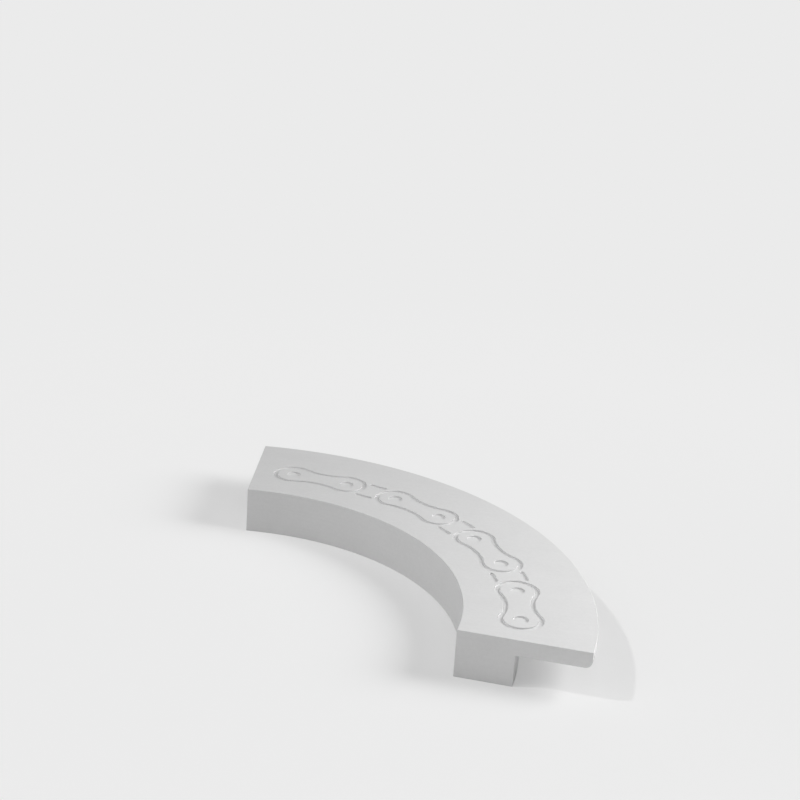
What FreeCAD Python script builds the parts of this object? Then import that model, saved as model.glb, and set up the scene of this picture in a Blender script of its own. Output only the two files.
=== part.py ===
import FreeCAD, Part
import math
import os

# Chainring guard: one printed arc segment, in millimetres.
# A thick foot wall stands inside the run of the chain, and a thin flange on top of it reaches out over the chain.
# A band of chain links is engraved along the top face.
# The origin is the middle of the flat seat under the foot wall. +Z is up and the arc bulges towards +Y.

# Driving dimensions of the section
inner_radius = 50.0
wall_thickness = 11.6
flange_overhang = 14.7
guard_height = 10.0
flange_thickness = 3.4
rim_radius = 1.5

# Driving dimension of the arc
arc_span_deg = 99.5

# Driving dimensions of the engraved band: its line of pins, its links and its grooves
band_inset = 11.4
band_end_margin = 3.0
link_pitch = 12.7
plate_end_radius = 4.0
waist_pinch = 1.3
rear_plate_waist = 3.2
pin_radius = 1.5
dash_clearance = 0.7
groove_width = 1.0
groove_depth = 0.4

# Height by which a cutter stands above the face that it cuts
cutter_overrun = 1.0

# Radii and heights that follow from the section
wall_outer_radius = inner_radius + wall_thickness
flange_outer_radius = wall_outer_radius + flange_overhang
seat_middle_radius = inner_radius + wall_thickness / 2
flange_underside = guard_height - flange_thickness

# Places of the links: an odd number of them fits the span, so that a front plate lies at each end of the band
half_pitch = link_pitch / 2
half_groove = groove_width / 2
band_radius = inner_radius + band_inset
link_step_deg = 2 * math.degrees(math.asin(half_pitch / band_radius))
link_middle_radius = math.sqrt(band_radius**2 - half_pitch**2)
end_reach = plate_end_radius + half_groove + band_end_margin
end_reach_deg = math.degrees(math.asin(end_reach / band_radius))
links_that_fit = int((arc_span_deg - 2 * end_reach_deg) / link_step_deg)
link_count = links_that_fit - 1 + links_that_fit % 2
groove_floor = guard_height - groove_depth
cutter_height = groove_depth + cutter_overrun

# Outline of a front plate: its round ends touch the hollow arcs of its waist
plate_waist = plate_end_radius - waist_pinch
waist_radius = (half_pitch**2 + plate_waist**2 - plate_end_radius**2) / (2 * waist_pinch)
waist_centre = waist_radius + plate_waist

# Directions
UP = FreeCAD.Vector(0, 0, 1)
AXIS = FreeCAD.Vector(0, 0, 0)
BULGE_DEG = 90.0


def line(start, end):
    """A straight edge."""
    return Part.LineSegment(start, end).toShape()


def arc(start, middle, end):
    """A round edge through three points."""
    return Part.Arc(start, middle, end).toShape()


def in_section(radius, height):
    """A point of the section, which is drawn in the XZ plane with the arc's axis along Z."""
    return FreeCAD.Vector(radius, 0, height)


def section():
    """The section of the guard: foot wall, flange over the chain, and the flange's rounded lower rim."""
    foot_inner = in_section(inner_radius, 0)
    foot_outer = in_section(wall_outer_radius, 0)
    inside_corner = in_section(wall_outer_radius, flange_underside)
    rim_start = in_section(flange_outer_radius - rim_radius, flange_underside)
    rim_end = in_section(flange_outer_radius, flange_underside + rim_radius)
    rim_sagitta = rim_radius * (1 - math.sqrt(0.5))
    rim_middle = in_section(flange_outer_radius - rim_sagitta, flange_underside + rim_sagitta)
    top_outer = in_section(flange_outer_radius, guard_height)
    top_inner = in_section(inner_radius, guard_height)
    edges = [
        line(foot_inner, foot_outer),
        line(foot_outer, inside_corner),
        line(inside_corner, rim_start),
        arc(rim_start, rim_middle, rim_end),
        line(rim_end, top_outer),
        line(top_outer, top_inner),
        line(top_inner, foot_inner),
    ]
    return Part.Face(Part.Wire(edges))


def plain_arc():
    """The section turned through the span about the arc's axis, with its middle towards +Y."""
    solid = section().revolve(AXIS, UP, arc_span_deg)
    solid.rotate(AXIS, UP, BULGE_DEG - arc_span_deg / 2)
    return solid


def in_link(along, out):
    """A point of the link in the middle of the band, from its centre: along the band and out from the axis."""
    return FreeCAD.Vector(along, link_middle_radius + out, groove_floor)


def plate_outline(offset):
    """The closed outline of a front plate, moved outwards by an offset: two round ends and a hollow waist."""
    share = (plate_end_radius + offset) / (plate_end_radius + waist_radius)
    join_along = half_pitch * (1 - share)
    join_out = waist_centre * share
    tip_along = half_pitch + plate_end_radius + offset
    waist_out = plate_waist + offset
    right_upper = in_link(join_along, join_out)
    right_lower = in_link(join_along, -join_out)
    left_upper = in_link(-join_along, join_out)
    left_lower = in_link(-join_along, -join_out)
    edges = [
        arc(right_lower, in_link(tip_along, 0), right_upper),
        arc(right_upper, in_link(0, waist_out), left_upper),
        arc(left_upper, in_link(-tip_along, 0), left_lower),
        arc(left_lower, in_link(0, -waist_out), right_lower),
    ]
    return Part.Wire(edges)


def front_plate():
    """Cutter for a front plate: a groove that follows its outline."""
    outer = Part.Face(plate_outline(half_groove)).extrude(UP * cutter_height)
    inner = Part.Face(plate_outline(-half_groove)).extrude(UP * cutter_height)
    return [outer.cut(inner)]


def rear_link():
    """Cutters for a link behind its neighbours: two dashes that stop short of the grooves on either side."""
    stop = plate_end_radius + groove_width + dash_clearance
    dash_half = half_pitch - math.sqrt(stop**2 - rear_plate_waist**2)
    dashes = []
    for middle in (rear_plate_waist, -rear_plate_waist):
        outer = middle + half_groove
        inner = middle - half_groove
        edges = [
            line(in_link(-dash_half, inner), in_link(dash_half, inner)),
            arc(in_link(dash_half, inner), in_link(dash_half + half_groove, middle), in_link(dash_half, outer)),
            line(in_link(dash_half, outer), in_link(-dash_half, outer)),
            arc(in_link(-dash_half, outer), in_link(-dash_half - half_groove, middle), in_link(-dash_half, inner)),
        ]
        dashes.append(Part.Face(Part.Wire(edges)).extrude(UP * cutter_height))
    return dashes


def pin():
    """Cutter for the round recess of a pin, on the line of pins."""
    return Part.makeCylinder(pin_radius, cutter_height, FreeCAD.Vector(0, band_radius, groove_floor), UP)


def chain_band():
    """Cutters for the whole band: front plates and rear links by turns, and a pin at every joint."""
    cutters = []
    for number in range(link_count):
        link = front_plate() if number % 2 == 0 else rear_link()
        for cutter in link:
            cutter.rotate(AXIS, UP, (number - (link_count - 1) / 2) * link_step_deg)
            cutters.append(cutter)
    for number in range(link_count + 1):
        cutter = pin()
        cutter.rotate(AXIS, UP, (number - link_count / 2) * link_step_deg)
        cutters.append(cutter)
    return cutters


def guard_arc():
    """The whole guard: the arc with its engraved band, moved so that the middle of its seat is the origin."""
    solid = plain_arc().cut(chain_band()).Solids[0]
    solid.translate(FreeCAD.Vector(0, -seat_middle_radius, 0))
    return solid


os.makedirs("parts", exist_ok=True)
guard_arc().exportStep("parts/guard_arc.step")
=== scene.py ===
"""Studio still of a chainring guard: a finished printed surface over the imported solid, on a pale floor."""

import logging
import math
from dataclasses import dataclass, field
from enum import Enum

import bpy
import numpy as np
from mathutils import Matrix, Vector
from mathutils.geometry import delaunay_2d_cdt


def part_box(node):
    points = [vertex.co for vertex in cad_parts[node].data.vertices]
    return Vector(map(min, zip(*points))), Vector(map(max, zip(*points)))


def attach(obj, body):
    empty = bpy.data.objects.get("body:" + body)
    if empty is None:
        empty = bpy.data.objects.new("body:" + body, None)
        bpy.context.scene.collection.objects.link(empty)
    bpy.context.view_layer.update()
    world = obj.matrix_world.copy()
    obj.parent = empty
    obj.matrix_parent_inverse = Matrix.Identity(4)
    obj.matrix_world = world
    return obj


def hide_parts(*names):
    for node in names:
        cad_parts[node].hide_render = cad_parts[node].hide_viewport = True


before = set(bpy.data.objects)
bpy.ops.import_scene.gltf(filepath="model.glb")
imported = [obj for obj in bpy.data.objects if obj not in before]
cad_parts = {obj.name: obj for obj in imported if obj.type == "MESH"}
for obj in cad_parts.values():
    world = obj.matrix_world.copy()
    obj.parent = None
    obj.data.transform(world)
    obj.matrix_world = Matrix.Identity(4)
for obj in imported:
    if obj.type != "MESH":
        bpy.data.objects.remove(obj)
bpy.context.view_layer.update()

MM = 0.001
QUARTER_TURN = math.pi / 2
UP = (0.0, 0.0, 1.0)
GUARD_NODE = "guard_arc"
BODY = "root"

# How Blender fills flat loops: only within them, with points nearer than this taken as one.
FILL_WITHIN_LOOPS = 1
FILL_WELD_MM = 1e-6

Pair = tuple[float, float]
Triple = tuple[float, float, float]
NodeOutput = tuple[bpy.types.Node, str]

log = logging.getLogger("chainring_guard")


class LinkKind(Enum):
    """How a link of the engraved chain shows: whole in front, or as two dashes behind its neighbours."""

    FRONT_PLATE = "front plate"
    REAR_LINK = "rear link"


class GrooveSide(Enum):
    """Which side of its wall's outline a groove lies on, as the sign of outward seen from the groove."""

    INSIDE = 1
    OUTSIDE = -1


class LampKind(Enum):
    """The kinds of lamp in the studio, by Blender's names for them."""

    SOFTBOX = "AREA"
    SUN = "SUN"


def grey(tone: float) -> tuple[float, float, float, float]:
    """An opaque grey: red, green and blue alike, and full alpha."""
    return (tone, tone, tone, 1.0)


def add_object(name: str, data: bpy.types.ID) -> bpy.types.Object:
    """Add an object to the scene, at the origin.

    Args:
        name: Name of the object.
        data: Its mesh, light or camera.

    Returns:
        The new object.
    """
    added = bpy.data.objects.new(name, data)
    bpy.context.scene.collection.objects.link(added)
    return added


@dataclass(frozen=True)
class Outline:
    """A run of points in a plane, with the direction out of the shape at every point."""

    points: np.ndarray
    normals: np.ndarray

    def placed(self, distance: float, angle: float) -> "Outline":
        """Move the run out from the arc's axis, and then turn it about the axis.

        Moving adds the distance to y. Turning makes (x, y) into (x cos a + y sin a, y cos a - x sin a),
        which carries +Y towards +X.

        Args:
            distance: Distance along +Y.
            angle: Angle from +Y towards +X, in radians.

        Returns:
            The placed run.
        """
        turn = np.array([[math.cos(angle), -math.sin(angle)], [math.sin(angle), math.cos(angle)]])
        return Outline((self.points + np.array([0.0, distance])) @ turn, self.normals @ turn)


def arc_run(
    centre: Pair, radius: float, start: float, end: float, count: int, hollow: bool = False
) -> Outline:
    """A run of points on a circle: centre plus radius times (cos a, sin a), for evenly spaced angles a.

    Args:
        centre: Centre of the circle.
        radius: Radius of the circle.
        start: First angle, in radians, which is in the run.
        end: Last angle, in radians, which is left to the run that follows.
        count: Number of points.
        hollow: True where the outline is hollow, so that its outward direction is towards the centre.

    Returns:
        The open run.
    """
    angles = np.linspace(start, end, count, endpoint=False)
    ray = np.stack([np.cos(angles), np.sin(angles)], axis=1)
    return Outline(np.asarray(centre) + radius * ray, -ray if hollow else ray)


def joined(runs: list[Outline]) -> Outline:
    """Join runs of points, one after the other, into one."""
    return Outline(np.vstack([run.points for run in runs]), np.vstack([run.normals for run in runs]))


class SurfaceSketch:
    """Points, the true normal at each, and the faces between them, gathered for one closed mesh."""

    def __init__(self) -> None:
        """Start with no points and no faces."""
        self._points: list[np.ndarray] = []
        self._normals: list[np.ndarray] = []
        self._faces: list[list[int]] = []
        self._count = 0

    def add_points(self, points: np.ndarray, normals: np.ndarray) -> np.ndarray:
        """Take in an array of points.

        Args:
            points: Positions, with x, y and z along the last axis.
            normals: Unit normals of the same shape.

        Returns:
            The points' numbers, in the shape of the array without its last axis.
        """
        shape = points.shape[:-1]
        size = int(np.prod(shape))
        numbers = np.arange(self._count, self._count + size).reshape(shape)
        self._points.append(points.reshape(-1, 3))
        self._normals.append(normals.reshape(-1, 3))
        self._count += size
        return numbers

    def add_grid(self, numbers: np.ndarray, wrap_rows: bool = False, flip: bool = False) -> None:
        """Lay four-sided faces over a grid of point numbers.

        Args:
            numbers: Grid of point numbers, rows by columns.
            wrap_rows: True where the last row meets the first one again.
            flip: True to turn every face over.
        """
        rows = np.vstack([numbers, numbers[:1]]) if wrap_rows else numbers
        corners = [rows[:-1, :-1], rows[1:, :-1], rows[1:, 1:], rows[:-1, 1:]]
        faces = np.stack(corners, axis=-1).reshape(-1, 4)
        self.add_faces(faces[:, ::-1] if flip else faces)

    def add_faces(self, faces: np.ndarray) -> None:
        """Take in faces given as rows of point numbers."""
        self._faces.extend(faces.tolist())

    def add_polygon(self, loop: np.ndarray) -> None:
        """Fill a flat loop of point numbers with one face."""
        self._faces.append(loop.tolist())

    def positions(self, numbers: np.ndarray) -> np.ndarray:
        """The positions of points, by their numbers."""
        return np.vstack(self._points)[numbers]

    def to_object(self, name: str) -> bpy.types.Object:
        """Make the mesh, with the normals that the formulas give, and add it to the scene.

        Args:
            name: Name of the object and its mesh.

        Returns:
            The new object, at the origin.
        """
        mesh = bpy.data.meshes.new(name)
        mesh.from_pydata(np.vstack(self._points).tolist(), [], self._faces)
        mesh.polygons.foreach_set("use_smooth", np.ones(len(mesh.polygons), dtype=bool))
        mesh.normals_split_custom_set_from_vertices(np.vstack(self._normals).tolist())
        mesh.update()
        return add_object(name, mesh)


@dataclass(frozen=True)
class GrooveSection:
    """The section of an engraved groove: a softened lip, an upright wall and a fillet to a flat floor."""

    width: float = 1.0 * MM
    depth: float = 0.4 * MM
    lip_radius: float = 0.08 * MM
    floor_radius: float = 0.10 * MM
    steps: int = 5

    def wall(self) -> Outline:
        """One wall, from the top face down to the floor, as distances out of the groove and heights.

        The lip is a quarter circle: distance = lip (1 - sin t), height = -lip (1 - cos t). The fillet is
        another: distance = -fillet (1 - cos t), height = -depth + fillet (1 - sin t). In both, t runs from 0
        to 90 degrees.

        Returns:
            The wall, with the directions out of the plastic.
        """
        t = np.linspace(0.0, QUARTER_TURN, self.steps + 1)
        fall = 1 - np.sin(t)
        run = 1 - np.cos(t)
        lip = np.stack([self.lip_radius * fall, -self.lip_radius * run], axis=1)
        lip_normal = np.stack([-np.sin(t), np.cos(t)], axis=1)
        fillet = np.stack([-self.floor_radius * run, self.floor_radius * fall - self.depth], axis=1)
        fillet_normal = np.stack([-np.cos(t), np.sin(t)], axis=1)
        return joined([Outline(lip, lip_normal), Outline(fillet, fillet_normal)])


@dataclass(frozen=True)
class GrooveLips:
    """The lips of one groove, as loops of point numbers: its outer one, and that of the island it leaves."""

    outer: np.ndarray
    island: np.ndarray | None = None


@dataclass(frozen=True)
class ChainBand:
    """The chain engraved along the top: front plates and rear links by turns, with a pin at every joint."""

    inset: float = 11.4 * MM
    end_margin: float = 3.0 * MM
    pitch: float = 12.7 * MM
    plate_end_radius: float = 4.0 * MM
    waist_pinch: float = 1.3 * MM
    rear_plate_waist: float = 3.2 * MM
    pin_radius: float = 1.5 * MM
    dash_clearance: float = 0.7 * MM
    groove: GrooveSection = field(default_factory=GrooveSection)
    end_points: int = 48
    waist_points: int = 20
    pin_points: int = 48
    cap_points: int = 14

    def link_step(self, inner_radius: float) -> float:
        """The angle between pins: twice the arcsine of half the pitch over the pin line's radius."""
        return 2 * math.asin(self.pitch / 2 / (inner_radius + self.inset))

    def link_count(self, inner_radius: float, half_span: float) -> int:
        """The odd number of links that fits the span with a margin at each end.

        Args:
            inner_radius: Inner radius of the guard.
            half_span: Half of the angle that the guard spans, in radians.

        Returns:
            The number of links.
        """
        reach = self.plate_end_radius + self.groove.width / 2 + self.end_margin
        end_angle = math.asin(reach / (inner_radius + self.inset))
        fitting = int(2 * (half_span - end_angle) / self.link_step(inner_radius))
        return fitting - 1 + fitting % 2

    def link_kind(self, number: int) -> LinkKind:
        """The kind of a link by its number: a front plate first, and then by turns."""
        return LinkKind.REAR_LINK if number % 2 else LinkKind.FRONT_PLATE

    def plate_outline(self, offset: float) -> Outline:
        """The outline of a front plate about its centre, moved outwards by an offset.

        Round ends about the two pins touch two hollow waist arcs. The waist's radius is
        (h h + w w - a a) / (2 (a - w)), for half pitch h, end radius a and half height w at the waist.

        Args:
            offset: Distance by which the outline is moved outwards.

        Returns:
            The closed outline, anticlockwise.
        """
        half = self.pitch / 2
        waist = self.plate_end_radius - self.waist_pinch
        waist_radius = (half**2 + waist**2 - self.plate_end_radius**2) / (2 * self.waist_pinch)
        waist_centre = waist_radius + waist
        lean = math.atan2(waist_centre, half)
        end = self.plate_end_radius + offset
        side = waist_radius - offset
        return joined([
            arc_run((half, 0.0), end, lean - math.pi, math.pi - lean, self.end_points),
            arc_run((0.0, waist_centre), side, -lean, lean - math.pi, self.waist_points, hollow=True),
            arc_run((-half, 0.0), end, lean, 2 * math.pi - lean, self.end_points),
            arc_run((0.0, -waist_centre), side, math.pi - lean, lean, self.waist_points, hollow=True),
        ])

    def dash_outline(self, out: float) -> Outline:
        """The outline of one dash of a rear link: two half circles joined by straight sides.

        Args:
            out: Distance of the dash from the line between the link's pins, outwards.

        Returns:
            The closed outline, anticlockwise.
        """
        radius = self.groove.width / 2
        reach = self.plate_end_radius + self.groove.width + self.dash_clearance
        half = self.pitch / 2 - math.sqrt(reach**2 - self.rear_plate_waist**2)
        runs = []
        for centre, start in (((half, out), -QUARTER_TURN), ((-half, out), QUARTER_TURN)):
            end = start + math.pi
            runs.append(arc_run(centre, radius, start, end, self.cap_points))
            # A run leaves out its last point, which here is where a straight side starts.
            runs.append(arc_run(centre, radius, end, end + math.pi, 1))
        return joined(runs)

    def pin_outline(self) -> Outline:
        """The outline of a pin: a circle about its centre, anticlockwise."""
        return arc_run((0.0, 0.0), self.pin_radius, 0.0, 2 * math.pi, self.pin_points)


class NodeGraph:
    """A node tree, with short ways to add nodes. Their inputs take plain values or other nodes' outputs."""

    def __init__(self, tree: bpy.types.NodeTree) -> None:
        """Keep the tree."""
        self.tree = tree

    def feed(self, socket: bpy.types.NodeSocket, value: object) -> None:
        """Set an input to a value, or join it to an output.

        Args:
            socket: The input.
            value: A plain value, or a node and the name of its output.
        """
        if isinstance(value, tuple) and isinstance(value[0], bpy.types.Node):
            node, output = value
            self.tree.links.new(node.outputs[output], socket)
        else:
            socket.default_value = value

    def add(self, kind: str, **inputs: object) -> bpy.types.Node:
        """Add a node.

        Args:
            kind: The node's type name.
            **inputs: What its inputs take, by their names.

        Returns:
            The new node.
        """
        node = self.tree.nodes.new(kind)
        for name, value in inputs.items():
            self.feed(node.inputs[name], value)
        return node

    def _operation(self, kind: str, operation: str, values: tuple[object, ...]) -> bpy.types.Node:
        """Add a node that works out one of several operations.

        Args:
            kind: The node's type name.
            operation: The operation's name.
            values: What its inputs take, in order.

        Returns:
            The new node.
        """
        node = self.tree.nodes.new(kind)
        node.operation = operation
        for socket, value in zip(node.inputs, values):
            self.feed(socket, value)
        return node

    def math(self, operation: str, *values: float | NodeOutput) -> NodeOutput:
        """The number that an operation gives on numbers."""
        return self._operation("ShaderNodeMath", operation, values), "Value"

    def vector(self, operation: str, *values: Triple | NodeOutput) -> NodeOutput:
        """The vector that an operation gives on vectors."""
        return self._operation("ShaderNodeVectorMath", operation, values), "Vector"

    def measure(self, operation: str, *values: Triple | NodeOutput) -> NodeOutput:
        """The number that an operation gives on vectors."""
        return self._operation("ShaderNodeVectorMath", operation, values), "Value"

    def mapping(self, place: NodeOutput, **inputs: Triple) -> NodeOutput:
        """Coordinates that a Mapping node turns or stretches."""
        return self.add("ShaderNodeMapping", Vector=place, **inputs), "Vector"

    def blend(self, share: float | NodeOutput, first: NodeOutput, second: NodeOutput) -> NodeOutput:
        """A blend of two numbers: the first at share 0, and the second at share 1."""
        return self.add("ShaderNodeMix", Factor=share, A=first, B=second), "Result"

    def spread(self, value: NodeOutput, ends: Pair, results: Pair, smooth: bool = False) -> NodeOutput:
        """Map a number from one range to another.

        Args:
            value: The number.
            ends: The ends of the range that it comes from.
            results: What the ends become.
            smooth: True to ease in and out.

        Returns:
            The mapped number.
        """
        node = self.add("ShaderNodeMapRange", Value=value)
        node.interpolation_type = "SMOOTHSTEP" if smooth else "LINEAR"
        for name, number in zip(("From Min", "From Max", "To Min", "To Max"), (*ends, *results)):
            node.inputs[name].default_value = number
        return node, "Result"

    def mix_shaders(self, share: NodeOutput, first: NodeOutput, second: NodeOutput) -> NodeOutput:
        """Show the first of two shaders at share 0, and the second at share 1.

        Args:
            share: Share of the second shader.
            first: One shader.
            second: The other shader.

        Returns:
            The mixed shader.
        """
        node = self.add("ShaderNodeMixShader", Fac=share)
        self.feed(node.inputs[1], first)
        self.feed(node.inputs[2], second)
        return node, "Shader"

    def add_shaders(self, first: NodeOutput, second: NodeOutput) -> NodeOutput:
        """Show two shaders on top of each other.

        Args:
            first: One shader.
            second: The other shader.

        Returns:
            Their sum.
        """
        node = self.add("ShaderNodeAddShader")
        self.feed(node.inputs[0], first)
        self.feed(node.inputs[1], second)
        return node, "Shader"


@dataclass(frozen=True)
class PrintedPlastic:
    """Matte light-grey plastic as it comes off a printer.

    Upright walls show level streaks where layers differ, flat faces the slanting lines in which their skin
    was laid, and all of it a fine grain. The streaks tint the surface and raise it alike.
    """

    name: str = "printed_plastic"
    tone: float = 0.666
    tone_shift: float = 0.09
    patch_size_mm: float = 6.0
    speckle_size_mm: float = 0.7
    streak_height_mm: float = 0.5
    streak_length_mm: float = 16.0
    streak_share: float = 0.4
    speckle_share: float = 0.45
    line_angle_deg: float = 45.0
    grain_size_mm: float = 0.4
    noise_detail: float = 3.0
    noise_roughness: float = 0.55
    roughness: float = 0.58
    roughness_shift: float = 0.10
    level_relief_mm: float = 0.03
    slanting_relief_mm: float = 0.012
    grain_relief_mm: float = 0.012

    def material(self) -> bpy.types.Material:
        """Build the node material.

        Returns:
            A material on Object coordinates, taken in millimetres.
        """
        material = bpy.data.materials.new(self.name)
        material.use_nodes = True
        graph = NodeGraph(material.node_tree)
        place = graph.mapping((graph.add("ShaderNodeTexCoord"), "Object"), Scale=(1 / MM, 1 / MM, 1 / MM))
        skin = graph.mapping(place, Rotation=(0.0, 0.0, math.radians(self.line_angle_deg)))
        along = 1 / self.streak_length_mm
        across = 1 / self.streak_height_mm
        level = self._noise(graph, place, (along, along, across))
        slanting = self._noise(graph, skin, (across, along, along))
        grain = self._even_noise(graph, place, self.grain_size_mm)
        upright = self._upright(graph)
        streaks = graph.blend(upright, slanting, level)
        shader = graph.tree.nodes["Principled BSDF"]
        graph.feed(shader.inputs["Base Color"], self._tint(graph, place, streaks))
        graph.feed(shader.inputs["Roughness"], self._gloss(graph, grain))
        graph.feed(shader.inputs["Normal"], self._relief(graph, upright, streaks, grain))
        return material

    def _upright(self, graph: NodeGraph) -> NodeOutput:
        """How upright a face is: one minus the size of its normal's height.

        Args:
            graph: The material's nodes.

        Returns:
            A number from 0 on flat faces to 1 on walls.
        """
        normal = (graph.add("ShaderNodeNewGeometry"), "Normal")
        facing = graph.add("ShaderNodeSeparateXYZ", Vector=normal)
        return graph.math("SUBTRACT", 1.0, graph.math("ABSOLUTE", (facing, "Z")))

    def _noise(self, graph: NodeGraph, place: NodeOutput, scale: Triple) -> NodeOutput:
        """Soft noise on coordinates stretched by a scale per axis.

        Args:
            graph: The material's nodes.
            place: Coordinates in millimetres.
            scale: Features per millimetre along each axis.

        Returns:
            The noise.
        """
        stretched = graph.mapping(place, Scale=scale)
        noise = graph.add("ShaderNodeTexNoise", Vector=stretched, Scale=1.0)
        graph.feed(noise.inputs["Detail"], self.noise_detail)
        graph.feed(noise.inputs["Roughness"], self.noise_roughness)
        return noise, "Fac"

    def _even_noise(self, graph: NodeGraph, place: NodeOutput, size_mm: float) -> NodeOutput:
        """Soft noise of one feature size along every axis."""
        return self._noise(graph, place, (1 / size_mm, 1 / size_mm, 1 / size_mm))

    def _tint(self, graph: NodeGraph, place: NodeOutput, streaks: NodeOutput) -> NodeOutput:
        """Let the grey drift in patches, streaks and speckles.

        Args:
            graph: The material's nodes.
            place: Coordinates in millimetres.
            streaks: The streaks, from 0 to 1.

        Returns:
            The colour.
        """
        patches = self._even_noise(graph, place, self.patch_size_mm)
        speckles = self._even_noise(graph, place, self.speckle_size_mm)
        shade = graph.blend(self.streak_share, patches, streaks)
        ramp = graph.add("ShaderNodeValToRGB", Fac=graph.blend(self.speckle_share, shade, speckles))
        ramp.color_ramp.elements[0].color = grey(self.tone * (1 - self.tone_shift))
        ramp.color_ramp.elements[1].color = grey(self.tone * (1 + self.tone_shift))
        return ramp, "Color"

    def _gloss(self, graph: NodeGraph, grain: NodeOutput) -> NodeOutput:
        """Let the roughness follow the grain.

        Args:
            graph: The material's nodes.
            grain: The grain, from 0 to 1.

        Returns:
            The roughness.
        """
        lowest = self.roughness - self.roughness_shift
        highest = self.roughness + self.roughness_shift
        return graph.spread(grain, (0.0, 1.0), (lowest, highest))

    def _relief(
        self, graph: NodeGraph, upright: NodeOutput, streaks: NodeOutput, grain: NodeOutput
    ) -> NodeOutput:
        """Raise the streaks, higher on walls than on flat faces, and the grain everywhere.

        Args:
            graph: The material's nodes.
            upright: How upright a face is, from 0 to 1.
            streaks: The streaks, from 0 to 1.
            grain: The grain, from 0 to 1.

        Returns:
            The normal.
        """
        more_on_walls = self.level_relief_mm - self.slanting_relief_mm
        streak_relief = graph.math("MULTIPLY_ADD", upright, more_on_walls, self.slanting_relief_mm)
        ridges = graph.math("MULTIPLY", streaks, streak_relief)
        height = graph.math("MULTIPLY_ADD", grain, self.grain_relief_mm, ridges)
        return graph.add("ShaderNodeBump", Strength=1.0, Distance=MM, Height=height), "Normal"


@dataclass(frozen=True)
class SectionCorner:
    """A rounded corner of the guard's section, between sides that are given by their outward directions."""

    place: Pair
    before: Pair
    after: Pair
    radius: float
    steps: int
    hollow: bool = False

    def rounded(self) -> Outline:
        """Round the corner with a quarter circle.

        A point is corner + sign radius (n(t) - n1 - n2), where n1 and n2 are the outward directions of the
        sides before and after it, n(t) = n1 cos t + n2 sin t, and sign is -1 at a hollow corner.

        Returns:
            The points from one side to the other, as radii and heights.
        """
        t = np.linspace(0.0, QUARTER_TURN, self.steps + 1)[:, None]
        before = np.asarray(self.before)
        after = np.asarray(self.after)
        normals = before * np.cos(t) + after * np.sin(t)
        sign = -1 if self.hollow else 1
        return Outline(np.asarray(self.place) + sign * self.radius * (normals - before - after), normals)


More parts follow.
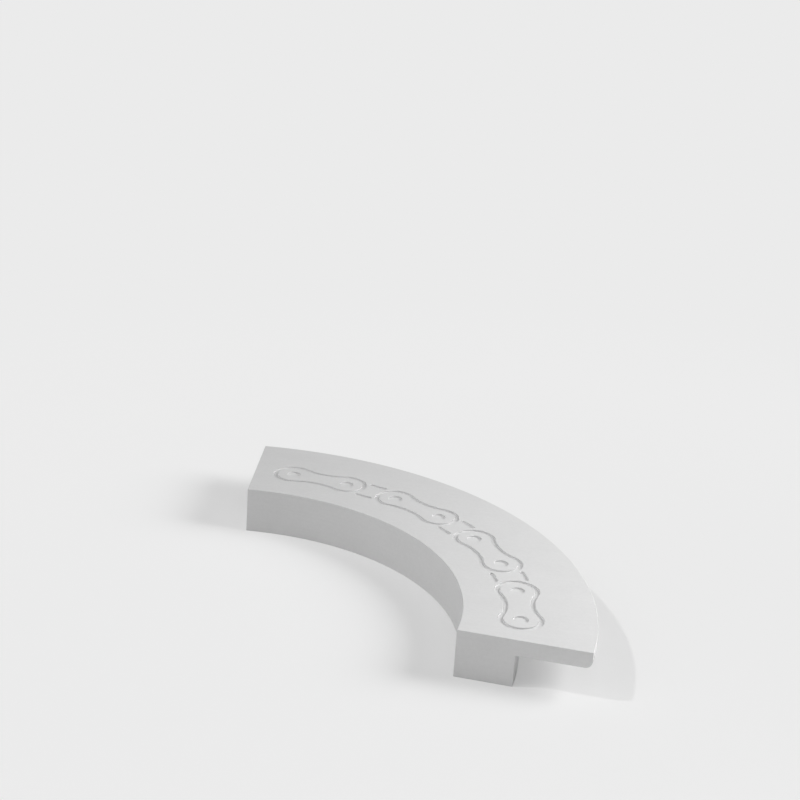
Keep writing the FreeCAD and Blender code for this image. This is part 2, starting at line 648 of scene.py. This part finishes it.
@dataclass
class PrintedGuard:
    """The guard: an L-shaped section carried round an arc, with softened edges and the chain cut in its top.

    The edges of the end faces are softened by less than the section's own corners, so that no corner shrinks
    to a point on an end face.
    """

    inner_radius: float = 50.0 * MM
    wall_thickness: float = 11.6 * MM
    flange_thickness: float = 3.4 * MM
    rim_radius: float = 1.5 * MM
    edge_radius: float = 0.14 * MM
    end_radius: float = 0.09 * MM
    inside_radius: float = 0.25 * MM
    edge_steps: int = 5
    rim_steps: int = 12
    rings: int = 181
    band: ChainBand = field(default_factory=ChainBand)
    finish: PrintedPlastic = field(default_factory=PrintedPlastic)
    seat_radius: float = field(init=False)
    foot: float = field(init=False)
    top: float = field(init=False)
    outer_radius: float = field(init=False)
    half_span: float = field(init=False)

    def __post_init__(self) -> None:
        """Take the height, the flange's reach and the span from the frame."""
        low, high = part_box(GUARD_NODE)
        self.seat_radius = self.inner_radius + self.wall_thickness / 2
        self.foot = low.z
        self.top = high.z
        self.outer_radius = high.y + self.seat_radius
        self.half_span = math.asin(high.x / self.outer_radius)

    def section(self) -> tuple[Outline, int]:
        """The closed section as radii and heights, run from the foot's inner edge outwards and up.

        Returns:
            The section, and the number of the first point of its last corner, at the top's inner edge.
        """
        wall = self.inner_radius + self.wall_thickness
        under = self.top - self.flange_thickness
        down, out, up, back = (0.0, -1.0), (1.0, 0.0), (0.0, 1.0), (-1.0, 0.0)
        corners = [
            SectionCorner((self.inner_radius, self.foot), back, down, self.edge_radius, self.edge_steps),
            SectionCorner((wall, self.foot), down, out, self.edge_radius, self.edge_steps),
            SectionCorner((wall, under), out, down, self.inside_radius, self.edge_steps, hollow=True),
            SectionCorner((self.outer_radius, under), down, out, self.rim_radius, self.rim_steps),
            SectionCorner((self.outer_radius, self.top), out, up, self.edge_radius, self.edge_steps),
            SectionCorner((self.inner_radius, self.top), up, back, self.edge_radius, self.edge_steps),
        ]
        runs = [corner.rounded() for corner in corners]
        last = sum(len(run.points) for run in runs[:-1])
        return joined(runs), last

    def sweep(self) -> tuple[np.ndarray, np.ndarray, slice]:
        """Carry the section round the arc and round it off towards both end faces.

        A ring is given by its share s of the half span, its distance d from the end plane and its inset i. A
        section point of radius r moves in by i along its outward direction, and stands at the angle
        s (half span - arcsin(d / r)). Towards an end, d = e (1 - sin t) and i = e (1 - cos t), for the end
        radius e.

        Returns:
            Points and normals as grids of rings by section points, and the rings at full section.
        """
        section, _ = self.section()
        t = np.linspace(0.0, QUARTER_TURN, self.edge_steps + 1)[1:]
        full = slice(len(t), len(t) + self.rings)
        share = np.concatenate([-np.ones(len(t)), np.linspace(-1.0, 1.0, self.rings), np.ones(len(t))])
        turn = np.concatenate([-t[::-1], np.zeros(self.rings), t])[:, None]
        gap = self.end_radius * (1 - np.abs(np.sin(turn)))
        inset = self.end_radius * (1 - np.cos(turn))
        radius = section.points[:, 0] - inset * section.normals[:, 0]
        height = section.points[:, 1] - inset * section.normals[:, 1]
        angle = share[:, None] * (self.half_span - np.arcsin(gap / radius))
        end_angle = np.where(turn == 0.0, angle, np.sign(turn) * self.half_span)
        level = np.zeros_like(angle)
        ray = np.stack([np.sin(end_angle), np.cos(end_angle), level], axis=-1)
        along = np.stack([np.cos(end_angle), -np.sin(end_angle), level], axis=-1)
        across = section.normals[:, 0, None] * ray + section.normals[:, 1, None] * np.array(UP)
        normals = np.cos(turn)[..., None] * across + np.sin(turn)[..., None] * along
        return self._from_axis(radius, angle, height), normals, full

    def _from_axis(self, radius: np.ndarray, angle: np.ndarray, height: np.ndarray) -> np.ndarray:
        """Points about the arc's axis in the part's frame: (r sin a, r cos a - seat radius, height).

        Args:
            radius: Distances r from the axis.
            angle: Angles a from +Y towards +X, in radians.
            height: Heights above the seat.

        Returns:
            The positions, with x, y and z along the last axis.
        """
        x = radius * np.sin(angle)
        y = radius * np.cos(angle) - self.seat_radius
        return np.stack([x, y, np.broadcast_to(height, x.shape)], axis=-1)

    def _on_top(self, plane: np.ndarray, height: np.ndarray) -> np.ndarray:
        """Points of the top's plane, measured from the arc's axis, put at heights in the part's frame."""
        z = np.broadcast_to(height, plane.shape[:-1])
        return np.stack([plane[..., 0], plane[..., 1] - self.seat_radius, z], axis=-1)

    def _groove_wall(self, sketch: SurfaceSketch, outline: Outline, side: GrooveSide) -> np.ndarray:
        """Carry the groove's wall round an outline: point + sign distance outward, at top + height.

        Args:
            sketch: Where the points and faces go.
            outline: The wall's own line on the top face, about the arc's axis.
            side: Where the groove lies from the outline.

        Returns:
            The grid of point numbers, from the lip to the floor along each row.
        """
        wall = self.band.groove.wall()
        out_of_groove = side.value * outline.normals[:, None]
        plane = outline.points[:, None] + wall.points[:, 0, None] * out_of_groove
        flat = wall.normals[:, 0, None] * out_of_groove
        rise = np.broadcast_to(wall.normals[:, 1], flat.shape[:-1])[..., None]
        points = self._on_top(plane, self.top + wall.points[:, 1])
        numbers = sketch.add_points(points, np.concatenate([flat, rise], axis=-1))
        sketch.add_grid(numbers, wrap_rows=True, flip=side is GrooveSide.OUTSIDE)
        return numbers

    def _engrave(self, sketch: SurfaceSketch) -> list[GrooveLips]:
        """Cut the chain: a ring-shaped groove for each front plate, and pockets for dashes and pins.

        Args:
            sketch: Where the points and faces go.

        Returns:
            The lips of every groove and pocket.
        """
        band = self.band
        step = band.link_step(self.inner_radius)
        count = band.link_count(self.inner_radius, self.half_span)
        pin_line = self.inner_radius + band.inset
        link_line = math.sqrt(pin_line**2 - (band.pitch / 2) ** 2)
        half_groove = band.groove.width / 2
        waist = band.rear_plate_waist
        lips: list[GrooveLips] = []
        pockets = [band.pin_outline().placed(pin_line, (pin - count / 2) * step) for pin in range(count + 1)]
        for number in range(count):
            angle = (number - (count - 1) / 2) * step
            if band.link_kind(number) is LinkKind.REAR_LINK:
                pockets += [band.dash_outline(out).placed(link_line, angle) for out in (waist, -waist)]
                continue
            rim = band.plate_outline(half_groove).placed(link_line, angle)
            island = band.plate_outline(-half_groove).placed(link_line, angle)
            outer = self._groove_wall(sketch, rim, GrooveSide.INSIDE)
            inner = self._groove_wall(sketch, island, GrooveSide.OUTSIDE)
            sketch.add_grid(np.stack([outer[:, -1], inner[:, -1]], axis=1), wrap_rows=True)
            lips.append(GrooveLips(outer[:, 0], inner[:, 0]))
        for pocket in pockets:
            wall = self._groove_wall(sketch, pocket, GrooveSide.INSIDE)
            sketch.add_polygon(wall[:, -1])
            lips.append(GrooveLips(wall[:, 0]))
        return lips

    def _sides(self, sketch: SurfaceSketch) -> np.ndarray:
        """Lay every face but the top: the walls and rounded edges, the underside and the end faces.

        Args:
            sketch: Where the points and faces go.

        Returns:
            The loop of point numbers round the top face, anticlockwise.
        """
        points, normals, full = self.sweep()
        numbers = sketch.add_points(points, normals)
        _, last = self.section()
        closed = np.hstack([numbers, numbers[:, :1]])
        sketch.add_grid(closed[:, :last], flip=True)
        sketch.add_grid(closed[:, last:], flip=True)
        # The top lies between the last two corners. Only the rounded strips at its ends are laid here.
        between = slice(last - 1, last + 1)
        sketch.add_grid(closed[: full.start + 1, between], flip=True)
        sketch.add_grid(closed[full.stop - 1 :, between], flip=True)
        sketch.add_polygon(numbers[0, ::-1])
        sketch.add_polygon(numbers[-1])
        return np.concatenate([numbers[full, last], numbers[full, last - 1][::-1]])

    def _top_face(self, sketch: SurfaceSketch, edge: np.ndarray, lips: list[GrooveLips]) -> None:
        """Fill the flat top between its edge and the grooves' lips with triangles.

        Args:
            sketch: Where the faces go.
            edge: Loop of point numbers round the top face, anticlockwise.
            lips: The grooves' lips.
        """
        loops = [edge]
        grooves = []
        islands = []
        no_island = -1
        for lip in lips:
            grooves.append(len(loops))
            loops.append(lip.outer)
            if lip.island is None:
                islands.append(no_island)
                continue
            islands.append(len(loops))
            loops.append(lip.island)
        numbers = np.concatenate(loops)
        plane = sketch.positions(numbers)[:, :2] / MM
        ends = np.cumsum([len(loop) for loop in loops])
        rims = [list(range(end - len(loop), end)) for loop, end in zip(loops, ends)]
        filled = delaunay_2d_cdt(plane.tolist(), [], rims, FILL_WITHIN_LOOPS, FILL_WELD_MM)
        _, _, triangles, sources, _, covers = filled
        rows = np.repeat(np.arange(len(covers)), [len(cover) for cover in covers])
        # Triangles by loops, true where the one lies in the other. The last column stands for no island.
        within = np.zeros((len(covers), len(loops) + 1), dtype=bool)
        within[rows, np.concatenate(covers)] = True
        cut_away = np.any(within[:, grooves] & ~within[:, islands], axis=1)
        source = np.array([ids[0] for ids in sources])
        sketch.add_faces(numbers[source[np.array(triangles)[~cut_away]]])

    def build(self) -> bpy.types.Object:
        """Build the guard's mesh.

        Returns:
            The piece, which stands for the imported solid.
        """
        sketch = SurfaceSketch()
        edge = self._sides(sketch)
        lips = self._engrave(sketch)
        self._top_face(sketch, edge, lips)
        return sketch.to_object("printed_guard")

    def dress(self, piece: bpy.types.Object) -> None:
        """Give the piece its plastic, and tie it to the frame.

        Args:
            piece: The guard's object.
        """
        piece.data.materials.append(self.finish.material())
        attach(piece, BODY)
        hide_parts(GUARD_NODE)


@dataclass(frozen=True)
class Lamp:
    """One lamp of the studio, which points at the origin.

    Its place is in metres. A softbox has its strength in watts and its softness as a width in metres. A sun
    has its strength in watts per square metre and its softness as an angle in degrees.
    """

    name: str
    kind: LampKind
    place: Triple
    strength: float
    softness: float

    def build(self) -> bpy.types.Object:
        """Add the lamp, out of the camera's sight.

        Returns:
            The lamp's object.
        """
        light = bpy.data.lights.new(self.name, self.kind.value)
        light.energy = self.strength
        if self.kind is LampKind.SOFTBOX:
            light.shape = "DISK"
            light.size = self.softness
        else:
            light.angle = math.radians(self.softness)
        lamp = add_object(self.name, light)
        lamp.location = self.place
        lamp.rotation_mode = "QUATERNION"
        lamp.rotation_quaternion = (-Vector(self.place)).to_track_quat("-Z", "Y")
        lamp.visible_camera = False
        return lamp

    def even_light(self) -> float:
        """The light of a sun on the whole floor: its strength times the sine of its height over pi."""
        height = Vector(self.place).normalized().z
        return self.strength * height / math.pi

    def light_at(self, graph: NodeGraph, place: NodeOutput) -> NodeOutput:
        """The light that a softbox lays on a bare floor.

        It is strength / pi squared times (ray . axis) (ray . up) / (d d (d d + r r)), for the ray to the
        softbox, its length d and the softbox's radius r.

        Args:
            graph: The floor's nodes.
            place: Coordinates on the floor.

        Returns:
            The light, 1 being a matte white's full tone.
        """
        ray = graph.vector("SUBTRACT", self.place, place)
        turned = graph.measure("DOT_PRODUCT", ray, tuple(Vector(self.place).normalized()))
        facing = graph.math("MAXIMUM", turned, 0.0)
        rising = graph.measure("DOT_PRODUCT", ray, UP)
        slant = graph.math("MULTIPLY", facing, rising)
        square = graph.measure("DOT_PRODUCT", ray, ray)
        widened = graph.math("ADD", square, (self.softness / 2) ** 2)
        spread = graph.math("MULTIPLY", square, widened)
        share = graph.math("DIVIDE", slant, spread)
        return graph.math("MULTIPLY", share, self.strength / math.pi**2)


@dataclass(frozen=True)
class FloorPaint:
    """Plain pale floor: matte for the light that it sends back, and of one even tone where it is seen."""

    name: str = "pale_floor"
    tone: float = 0.80
    shown_tone: float = 0.831
    lit_share: float = 0.657
    lit_reach: float = 120.0 * MM
    fade_reach: float = 220.0 * MM

    def material(self, lamps: tuple[Lamp, ...], sky_strength: float) -> bpy.types.Material:
        """Build the node material.

        Args:
            lamps: The studio's lamps.
            sky_strength: Strength of the even light from all round.

        Returns:
            The material, on Object coordinates.
        """
        material = bpy.data.materials.new(self.name)
        material.use_nodes = True
        graph = NodeGraph(material.node_tree)
        graph.tree.nodes.remove(graph.tree.nodes["Principled BSDF"])
        place = (graph.add("ShaderNodeTexCoord"), "Object")
        shown = self._shown(graph, place, self._bare_light(graph, place, lamps, sky_strength))
        matte = (graph.add("ShaderNodeBsdfDiffuse", Color=grey(self.tone)), "BSDF")
        surface = graph.mix_shaders(self._seen(graph), matte, shown)
        graph.feed(graph.tree.nodes["Material Output"].inputs["Surface"], surface)
        return material

    def _bare_light(
        self, graph: NodeGraph, place: NodeOutput, lamps: tuple[Lamp, ...], sky_strength: float
    ) -> float | NodeOutput:
        """The light that all lamps and the sky lay on a bare floor.

        Args:
            graph: The floor's nodes.
            place: Coordinates on the floor.
            lamps: The studio's lamps.
            sky_strength: Strength of the even light from all round.

        Returns:
            The light, 1 being a matte white's full tone.
        """
        light = sky_strength + sum(lamp.even_light() for lamp in lamps if lamp.kind is LampKind.SUN)
        for lamp in lamps:
            if lamp.kind is LampKind.SOFTBOX:
                light = graph.math("ADD", light, lamp.light_at(graph, place))
        return light

    def _shown(self, graph: NodeGraph, place: NodeOutput, light: float | NodeOutput) -> NodeOutput:
        """The floor as it is seen, with an even tone that only shadows break.

        Its matte tone is the lit share of the shown tone, divided by the light that a bare floor gets there.
        The rest of the shown tone is its own glow. Past the reach of the shadows the lit share falls to
        nothing, and the glow alone is left.

        Args:
            graph: The floor's nodes.
            place: Coordinates on the floor.
            light: The light on a bare floor.

        Returns:
            The shader.
        """
        distance = graph.measure("LENGTH", place)
        share = graph.spread(distance, (self.lit_reach, self.fade_reach), (self.lit_share, 0.0), smooth=True)
        full_tone = graph.math("DIVIDE", self.shown_tone, light)
        lit = graph.add("ShaderNodeBsdfDiffuse", Color=graph.math("MULTIPLY", full_tone, share))
        rest = graph.math("SUBTRACT", 1.0, share)
        glow = graph.add("ShaderNodeEmission", Color=grey(self.shown_tone), Strength=rest)
        return graph.add_shaders((lit, "BSDF"), (glow, "Emission"))

    def _seen(self, graph: NodeGraph) -> NodeOutput:
        """Tell rays in which the floor is seen, straight, mirrored or through something, from the others.

        Args:
            graph: The floor's nodes.

        Returns:
            1 for those rays, and 0 for the others.
        """
        rays = graph.add("ShaderNodeLightPath")
        seen = graph.math("MAXIMUM", (rays, "Is Camera Ray"), (rays, "Is Glossy Ray"))
        return graph.math("MAXIMUM", seen, (rays, "Is Transmission Ray"))


@dataclass(frozen=True)
class PhotoView:
    """The camera of the reference picture: where it stands, where it looks, its lens and its slight roll."""

    name: str = "photo_view"
    eye: Triple = (287.15 * MM, -227.21 * MM, 173.08 * MM)
    forward: Triple = (-0.751436, 0.563330, -0.343517)
    right: Triple = (0.580208, 0.812066, 0.062507)
    lens_mm: float = 84.918
    sensor_mm: float = 36.0
    nearest: float = 1.0 * MM

    def build(self) -> bpy.types.Object:
        """Add the camera and make it the scene's own.

        Returns:
            The camera's object.
        """
        data = bpy.data.cameras.new(self.name)
        data.lens = self.lens_mm
        data.sensor_fit = "HORIZONTAL"
        data.sensor_width = self.sensor_mm
        data.clip_start = self.nearest
        camera = add_object(self.name, data)
        back = -Vector(self.forward).normalized()
        up = back.cross(Vector(self.right)).normalized()
        right = up.cross(back)
        pose = Matrix((right, up, back)).transposed().to_4x4()
        pose.translation = Vector(self.eye)
        camera.matrix_world = pose
        bpy.context.scene.camera = camera
        return camera


@dataclass
class Studio:
    """Floor, lamps, surrounding light and camera."""

    floor_half_width: float = 12.0
    floor_drop: float = 0.01 * MM
    floor_paint: FloorPaint = field(default_factory=FloorPaint)
    sky_tone: float = 1.0
    sky_strength: float = 0.203
    view: PhotoView = field(default_factory=PhotoView)
    lamps: tuple[Lamp, ...] = (
        Lamp("key_softbox", LampKind.SOFTBOX, (0.172, 0.243, 0.200), 0.669, 0.207),
        Lamp("near_softbox", LampKind.SOFTBOX, (0.110, 0.110, 0.130), 0.1325, 0.09),
        Lamp("front_fill", LampKind.SOFTBOX, (-0.050, -0.735, 0.516), 1.733, 0.70),
        Lamp("right_lift", LampKind.SOFTBOX, (0.103, -0.036, 0.190), 0.0326, 0.10),
        Lamp("side_sun", LampKind.SUN, (-0.330, -0.552, 0.766), 0.713, 2.0),
    )

    def build_floor(self) -> bpy.types.Object:
        """Lay the floor just under the guard's seat.

        Returns:
            The floor's object.
        """
        corners = np.array([[-1, -1], [1, -1], [1, 1], [-1, 1]], dtype=float) * self.floor_half_width
        points = np.hstack([corners, np.full((4, 1), -self.floor_drop)])
        mesh = bpy.data.meshes.new("studio_floor")
        mesh.from_pydata(points.tolist(), [], [[0, 1, 2, 3]])
        mesh.materials.append(self.floor_paint.material(self.lamps, self.sky_strength))
        floor = add_object("studio_floor", mesh)
        return floor

    def build_sky(self) -> bpy.types.World:
        """Surround the scene with even light, which the camera sees as the floor's tone.

        Returns:
            The scene's world.
        """
        world = bpy.data.worlds.new("studio_sky")
        world.use_nodes = True
        graph = NodeGraph(world.node_tree)
        light = graph.tree.nodes["Background"]
        graph.feed(light.inputs["Color"], grey(self.sky_tone))
        graph.feed(light.inputs["Strength"], self.sky_strength)
        seen = graph.add("ShaderNodeBackground", Color=grey(self.floor_paint.shown_tone), Strength=1.0)
        rays = graph.add("ShaderNodeLightPath")
        sky = graph.mix_shaders((rays, "Is Camera Ray"), (light, "Background"), (seen, "Background"))
        graph.feed(graph.tree.nodes["World Output"].inputs["Surface"], sky)
        bpy.context.scene.world = world
        return world

    def build(self) -> None:
        """Set up everything round the object."""
        self.build_floor()
        self.build_sky()
        for lamp in self.lamps:
            lamp.build()
            log.info("lamp %s", lamp.name)
        self.view.build()
        bpy.context.scene.view_settings.view_transform = "Standard"


def main() -> None:
    """Build the guard and the studio."""
    logging.basicConfig(level=logging.INFO)
    guard = PrintedGuard()
    piece = guard.build()
    guard.dress(piece)
    log.info("piece %s has %d faces", piece.name, len(piece.data.polygons))
    Studio().build()


if __name__ == "__main__":
    main()
